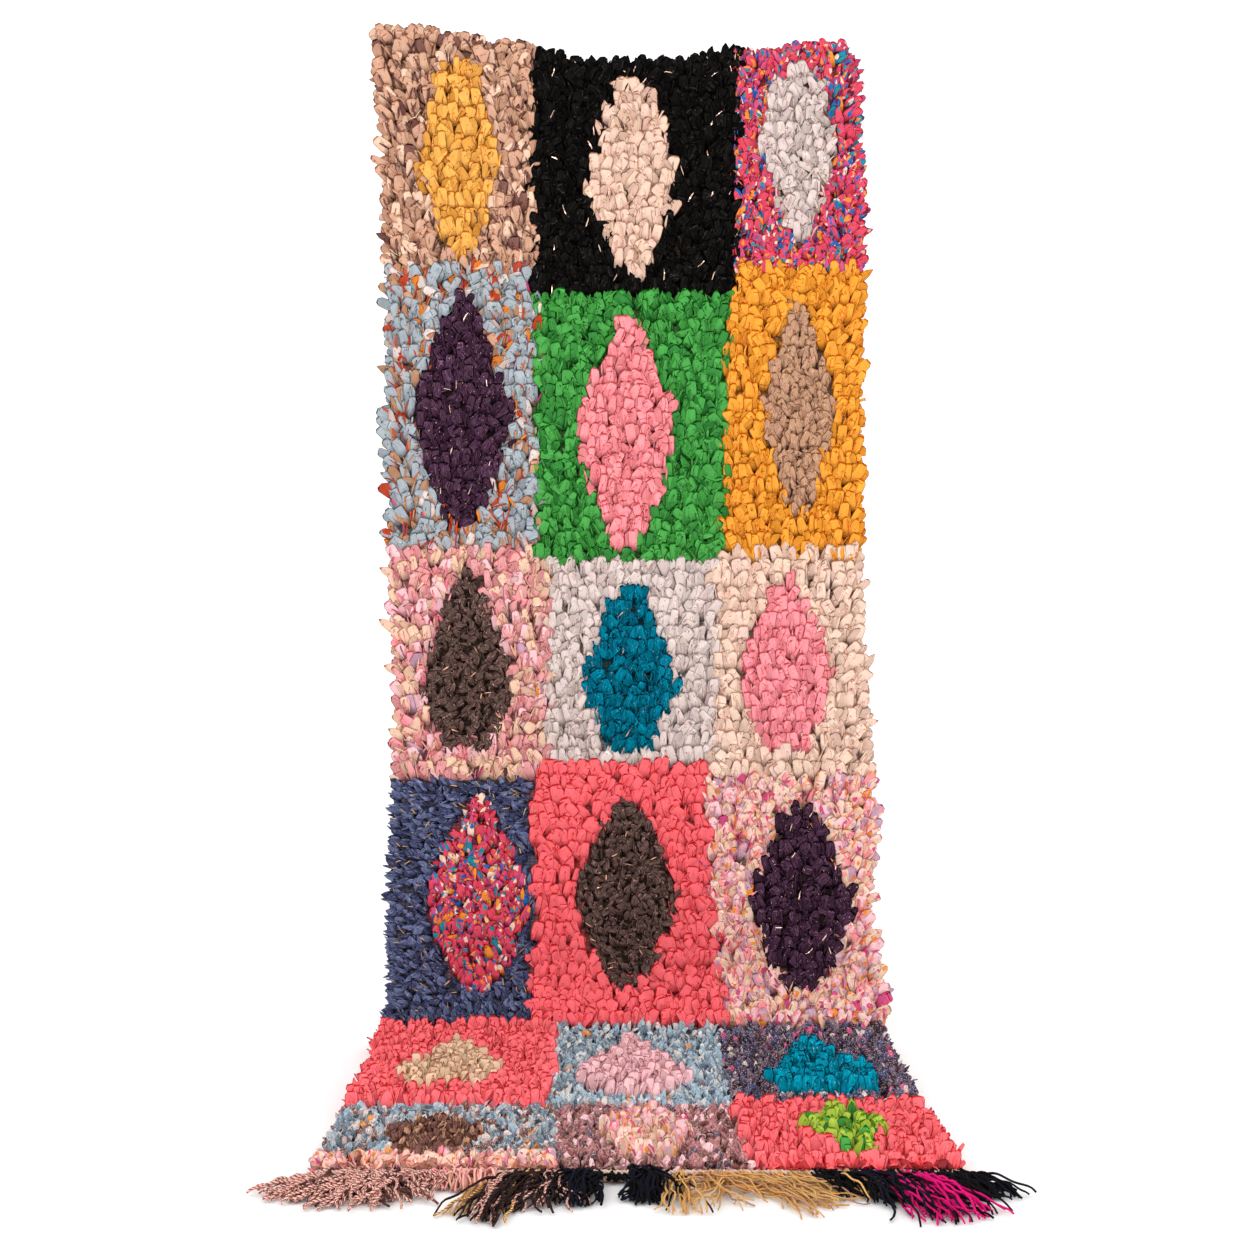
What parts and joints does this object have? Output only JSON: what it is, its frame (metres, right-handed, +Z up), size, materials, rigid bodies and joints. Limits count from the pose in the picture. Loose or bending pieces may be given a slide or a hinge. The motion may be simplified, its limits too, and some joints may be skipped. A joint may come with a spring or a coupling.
{
  "type": "boucherouite rug hung from its top edge",
  "caption": "Long shaggy rag rug of coloured blocks with a lozenge in each, hung from its top edge, its fringed lower end lying on the floor.",
  "frame": {"origin": "middle of the top edge, on the back of the cloth", "axes": "+Z up along the hanging part, +X to the right of a viewer who faces the pile, -Y away from the wall along the part that lies on the floor"},
  "size_m": [0.9758, 0.9356, 1.7555],
  "materials": {
    "rag_pile": "matt knotted rag pile in many colours",
    "warp_cotton": "matt undyed cotton",
    "pink_brown_yarn": "matt plied yarn",
    "brown_yarn": "matt plied yarn",
    "mauve_yarn": "matt plied yarn",
    "peach_rag": "matt jersey rag",
    "navy_yarn": "matt plied yarn",
    "black_yarn": "matt plied yarn",
    "tan_yarn": "matt plied yarn",
    "magenta_black_yarn": "matt plied yarn"
  },
  "bodies": {
    "root": {"rug": "rag_pile", "fringe_heading": "warp_cotton", "dusty_pink": "pink_brown_yarn", "dark_brown": "pink_brown_yarn", "mauve": "mauve_yarn", "pink_knot": "mauve_yarn", "peach_rag": "peach_rag", "brown_ply": "brown_yarn", "pink_twist": "brown_yarn", "navy_bundle": "navy_yarn", "small_knot": "black_yarn", "navy_black": "navy_yarn", "tan_black": "tan_yarn", "black_short": "black_yarn", "tan_mix": "tan_yarn", "black_long": "black_yarn", "magenta_inner": "magenta_black_yarn", "magenta_outer": "magenta_black_yarn", "black_end": "black_yarn"}
  },
  "joints": []
}
